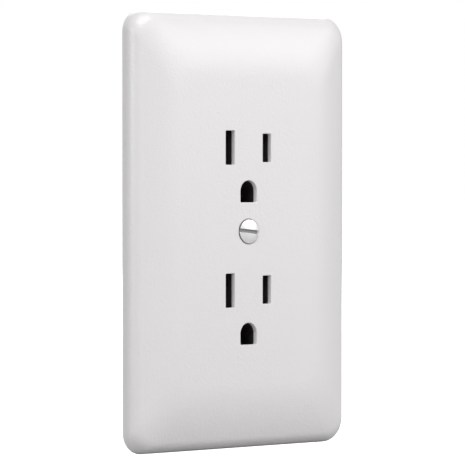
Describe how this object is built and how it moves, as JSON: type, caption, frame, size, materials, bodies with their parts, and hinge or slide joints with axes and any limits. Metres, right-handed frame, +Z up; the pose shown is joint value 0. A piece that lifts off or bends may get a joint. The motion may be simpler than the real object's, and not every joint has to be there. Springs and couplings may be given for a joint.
{
  "type": "duplex wall outlet",
  "caption": "Duplex wall outlet: a domed one-piece cover plate over a side-wired grounded receptacle with sliding shutters, clamp terminals and box mounting screws.",
  "frame": {"origin": "centre of the cover plate's back rim, on the wall plane and on the centre screw's axis", "axes": "+Z up, +X right as seen from the front, +Y into the wall; the plate faces -Y"},
  "size_m": [0.0746, 0.033, 0.1194],
  "materials": {
    "plate_white": "semi-gloss, fine moulded texture",
    "screw_nickel": "bright nickel plating",
    "housing_dark": "satin",
    "base_dark": "satin",
    "shutter_dark": "satin",
    "strap_zinc": "zinc plated",
    "contact_brass": "rolled strip",
    "screw_brass": "turned",
    "screw_green": "green plated",
    "screw_zinc": "zinc plated",
    "clamp_steel": "zinc plated",
    "washer_fibre": "pressed fibre",
    "spring_steel": "drawn wire"
  },
  "bodies": {
    "housing": {"receptacle_face": "housing_dark", "receptacle_base": "base_dark", "mounting_strap": "strap_zinc", "plate_screw_insert": "contact_brass", "hot_contact_strip": "contact_brass", "neutral_contact_strip": "contact_brass", "upper_ground_contact": "contact_brass", "lower_ground_contact": "contact_brass", "ground_contact_rivets": "contact_brass", "assembly_screws": "screw_zinc", "upper_shutter_spring": "spring_steel", "lower_shutter_spring": "spring_steel", "upper_shutter_cover": "shutter_dark", "lower_shutter_cover": "shutter_dark"},
    "plate": {"cover_plate": "plate_white"},
    "plate_fastener": {"plate_screw": "screw_nickel"},
    "upper_slider": {"upper_shutter": "shutter_dark"},
    "lower_slider": {"lower_shutter": "shutter_dark"},
    "upper_hot_pressure_plate": {"upper_hot_clamp": "clamp_steel"},
    "upper_hot_terminal_screw": {"upper_hot_screw": "screw_brass"},
    "upper_neutral_pressure_plate": {"upper_neutral_clamp": "clamp_steel"},
    "upper_neutral_terminal_screw": {"upper_neutral_screw": "screw_nickel"},
    "lower_hot_pressure_plate": {"lower_hot_clamp": "clamp_steel"},
    "lower_hot_terminal_screw": {"lower_hot_screw": "screw_brass"},
    "lower_neutral_pressure_plate": {"lower_neutral_clamp": "clamp_steel"},
    "lower_neutral_terminal_screw": {"lower_neutral_screw": "screw_nickel"},
    "ground_pressure_plate": {"ground_clamp": "clamp_steel"},
    "ground_terminal_screw": {"ground_screw": "screw_green"},
    "upper_washer": {"upper_screw_washer": "washer_fibre"},
    "upper_box_screw": {"upper_mounting_screw": "screw_zinc"},
    "lower_washer": {"lower_screw_washer": "washer_fibre"},
    "lower_box_screw": {"lower_mounting_screw": "screw_zinc"}
  },
  "joints": [
    {"name": "plate_slide", "type": "slide", "parent": "housing", "child": "plate", "axis": [0, -1, 0], "range_m": [0, 0.016]},
    {"name": "plate_screw_turn", "type": "hinge", "parent": "plate", "child": "plate_fastener", "pos_m": [0, 0, 0], "axis": [0, -1, 0], "range_deg": [0, 7258.7]},
    {"name": "upper_shutter_slide", "type": "slide", "parent": "housing", "child": "upper_slider", "axis": [1, 0, 0], "range_m": [0, 0.0033], "stiffness_N_per_m": 60, "springref_m": -0.002, "deforming": ["upper_shutter_spring"]},
    {"name": "lower_shutter_slide", "type": "slide", "parent": "housing", "child": "lower_slider", "axis": [1, 0, 0], "range_m": [0, 0.0033], "stiffness_N_per_m": 60, "springref_m": -0.002, "deforming": ["lower_shutter_spring"]},
    {"name": "upper_hot_clamp_slide", "type": "slide", "parent": "housing", "child": "upper_hot_pressure_plate", "axis": [1, 0, 0], "range_m": [0, 0.0032]},
    {"name": "upper_hot_screw_turn", "type": "hinge", "parent": "upper_hot_pressure_plate", "child": "upper_hot_terminal_screw", "pos_m": [0, 0.0105, 0.008], "axis": [1, 0, 0], "range_deg": [0, 1452.3]},
    {"name": "upper_neutral_clamp_slide", "type": "slide", "parent": "housing", "child": "upper_neutral_pressure_plate", "axis": [-1, 0, 0], "range_m": [0, 0.0032]},
    {"name": "upper_neutral_screw_turn", "type": "hinge", "parent": "upper_neutral_pressure_plate", "child": "upper_neutral_terminal_screw", "pos_m": [0, 0.0105, 0.008], "axis": [-1, 0, 0], "range_deg": [0, 1452.3]},
    {"name": "lower_hot_clamp_slide", "type": "slide", "parent": "housing", "child": "lower_hot_pressure_plate", "axis": [1, 0, 0], "range_m": [0, 0.0032]},
    {"name": "lower_hot_screw_turn", "type": "hinge", "parent": "lower_hot_pressure_plate", "child": "lower_hot_terminal_screw", "pos_m": [0, 0.0105, -0.008], "axis": [1, 0, 0], "range_deg": [0, 1452.3]},
    {"name": "lower_neutral_clamp_slide", "type": "slide", "parent": "housing", "child": "lower_neutral_pressure_plate", "axis": [-1, 0, 0], "range_m": [0, 0.0032]},
    {"name": "lower_neutral_screw_turn", "type": "hinge", "parent": "lower_neutral_pressure_plate", "child": "lower_neutral_terminal_screw", "pos_m": [0, 0.0105, -0.008], "axis": [-1, 0, 0], "range_deg": [0, 1452.3]},
    {"name": "ground_clamp_slide", "type": "slide", "parent": "housing", "child": "ground_pressure_plate", "axis": [-1, 0, 0], "range_m": [0, 0.0032]},
    {"name": "ground_screw_turn", "type": "hinge", "parent": "ground_pressure_plate", "child": "ground_terminal_screw", "pos_m": [0, 0.009, -0.0406], "axis": [-1, 0, 0], "range_deg": [0, 1452.3]},
    {"name": "upper_washer_slide", "type": "slide", "parent": "housing", "child": "upper_washer", "axis": [1, 0, 0], "range_m": [-0.0019, 0.0019]},
    {"name": "upper_mounting_screw_turn", "type": "hinge", "parent": "upper_washer", "child": "upper_box_screw", "pos_m": [0, 0, 0.04167], "axis": [0, -1, 0], "continuous": true},
    {"name": "lower_washer_slide", "type": "slide", "parent": "housing", "child": "lower_washer", "axis": [1, 0, 0], "range_m": [-0.0019, 0.0019]},
    {"name": "lower_mounting_screw_turn", "type": "hinge", "parent": "lower_washer", "child": "lower_box_screw", "pos_m": [0, 0, -0.04167], "axis": [0, -1, 0], "continuous": true}
  ],
  "couplings": [
    {"joint": "plate_screw_turn", "follows": "plate_slide", "rad_per_m": 7915.8},
    {"joint": "upper_hot_screw_turn", "follows": "upper_hot_clamp_slide", "rad_per_m": 7915.8},
    {"joint": "upper_neutral_screw_turn", "follows": "upper_neutral_clamp_slide", "rad_per_m": 7915.8},
    {"joint": "lower_hot_screw_turn", "follows": "lower_hot_clamp_slide", "rad_per_m": 7915.8},
    {"joint": "lower_neutral_screw_turn", "follows": "lower_neutral_clamp_slide", "rad_per_m": 7915.8},
    {"joint": "ground_screw_turn", "follows": "ground_clamp_slide", "rad_per_m": 7915.8}
  ]
}
